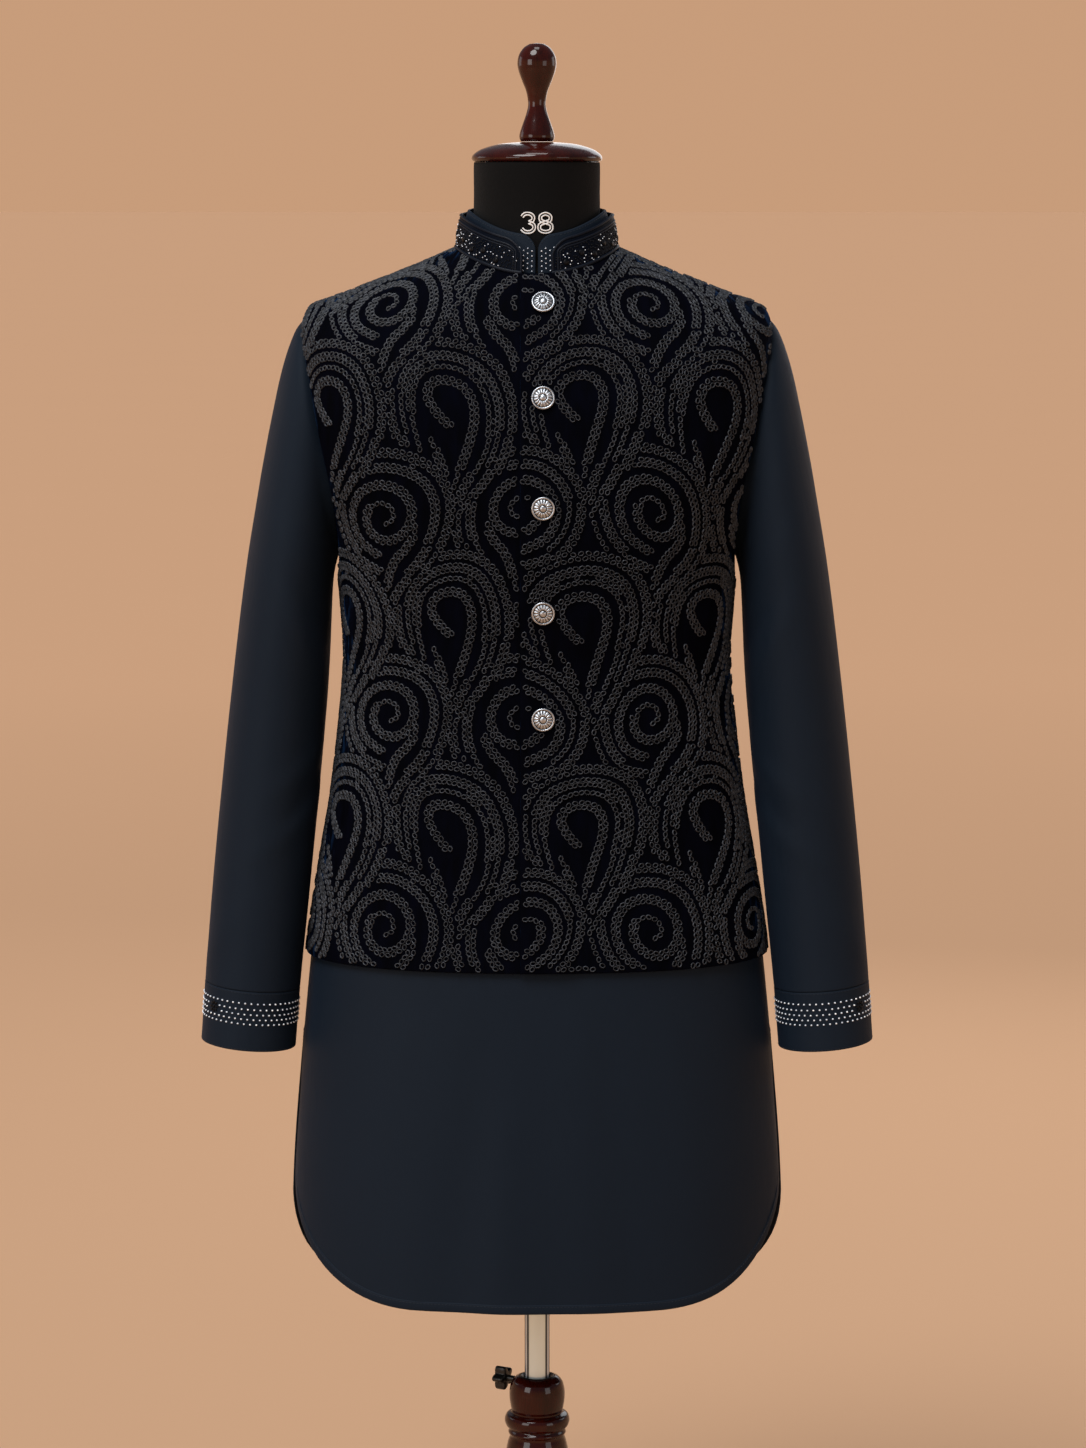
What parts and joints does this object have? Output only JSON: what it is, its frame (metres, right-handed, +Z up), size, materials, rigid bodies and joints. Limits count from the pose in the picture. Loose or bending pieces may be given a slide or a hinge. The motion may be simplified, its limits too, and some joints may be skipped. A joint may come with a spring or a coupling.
{
  "type": "kurta and waistcoat set on a dress form",
  "caption": "Long-sleeved knee kurta under a buttoned, corded velvet waistcoat with stand collars, on a limbless dress form with a turned wooden stand.",
  "frame": {"origin": "on the floor, at the centre of the stand's flat underside, below the pole's axis", "axes": "+Z up along the pole, -Y the way the fronts face, +X the wearer's left"},
  "size_m": [0.6392, 0.384, 1.6415],
  "materials": {
    "kurta_cloth": "dark navy twill, faint sheen",
    "velvet": "black-navy velvet with dark grey chain cord scrolls",
    "collar_cloth": "navy satin with beads",
    "button_metal": "antique silver",
    "jersey": "matt black knit",
    "wood": "dark mahogany, gloss lacquer",
    "chrome": "polished",
    "black_plastic": "semi-gloss"
  },
  "bodies": {
    "stand": {"stand_base": "wood", "stand_column": "wood", "stand_bushing": "black_plastic"},
    "form": {"pole": "chrome", "form_torso": "jersey", "neck_cap": "wood", "finial": "wood", "kurta_front": "kurta_cloth", "kurta_back": "kurta_cloth", "kurta_placket": "kurta_cloth", "kurta_collar": "kurta_cloth", "kurta_sleeve_left": "kurta_cloth", "kurta_sleeve_right": "kurta_cloth", "kurta_cuff_left": "kurta_cloth", "kurta_cuff_right": "kurta_cloth", "waistcoat_front_left": "velvet", "waistcoat_front_right": "velvet", "waistcoat_back": "velvet", "waistcoat_collar": "collar_cloth", "waistcoat_button_1": "button_metal", "waistcoat_button_2": "button_metal", "waistcoat_button_3": "button_metal", "waistcoat_button_4": "button_metal", "waistcoat_button_5": "button_metal"},
    "clamp": {"clamp_knob": "black_plastic"}
  },
  "joints": [
    {"name": "form_height", "type": "slide", "parent": "stand", "child": "form", "axis": [0, 0, 1], "range_m": [-0.05, 0.12]},
    {"name": "clamp_turn", "type": "hinge", "parent": "stand", "child": "clamp", "pos_m": [0, 0, 0.359], "axis": [-0.866, 0.5, 0], "continuous": true}
  ]
}
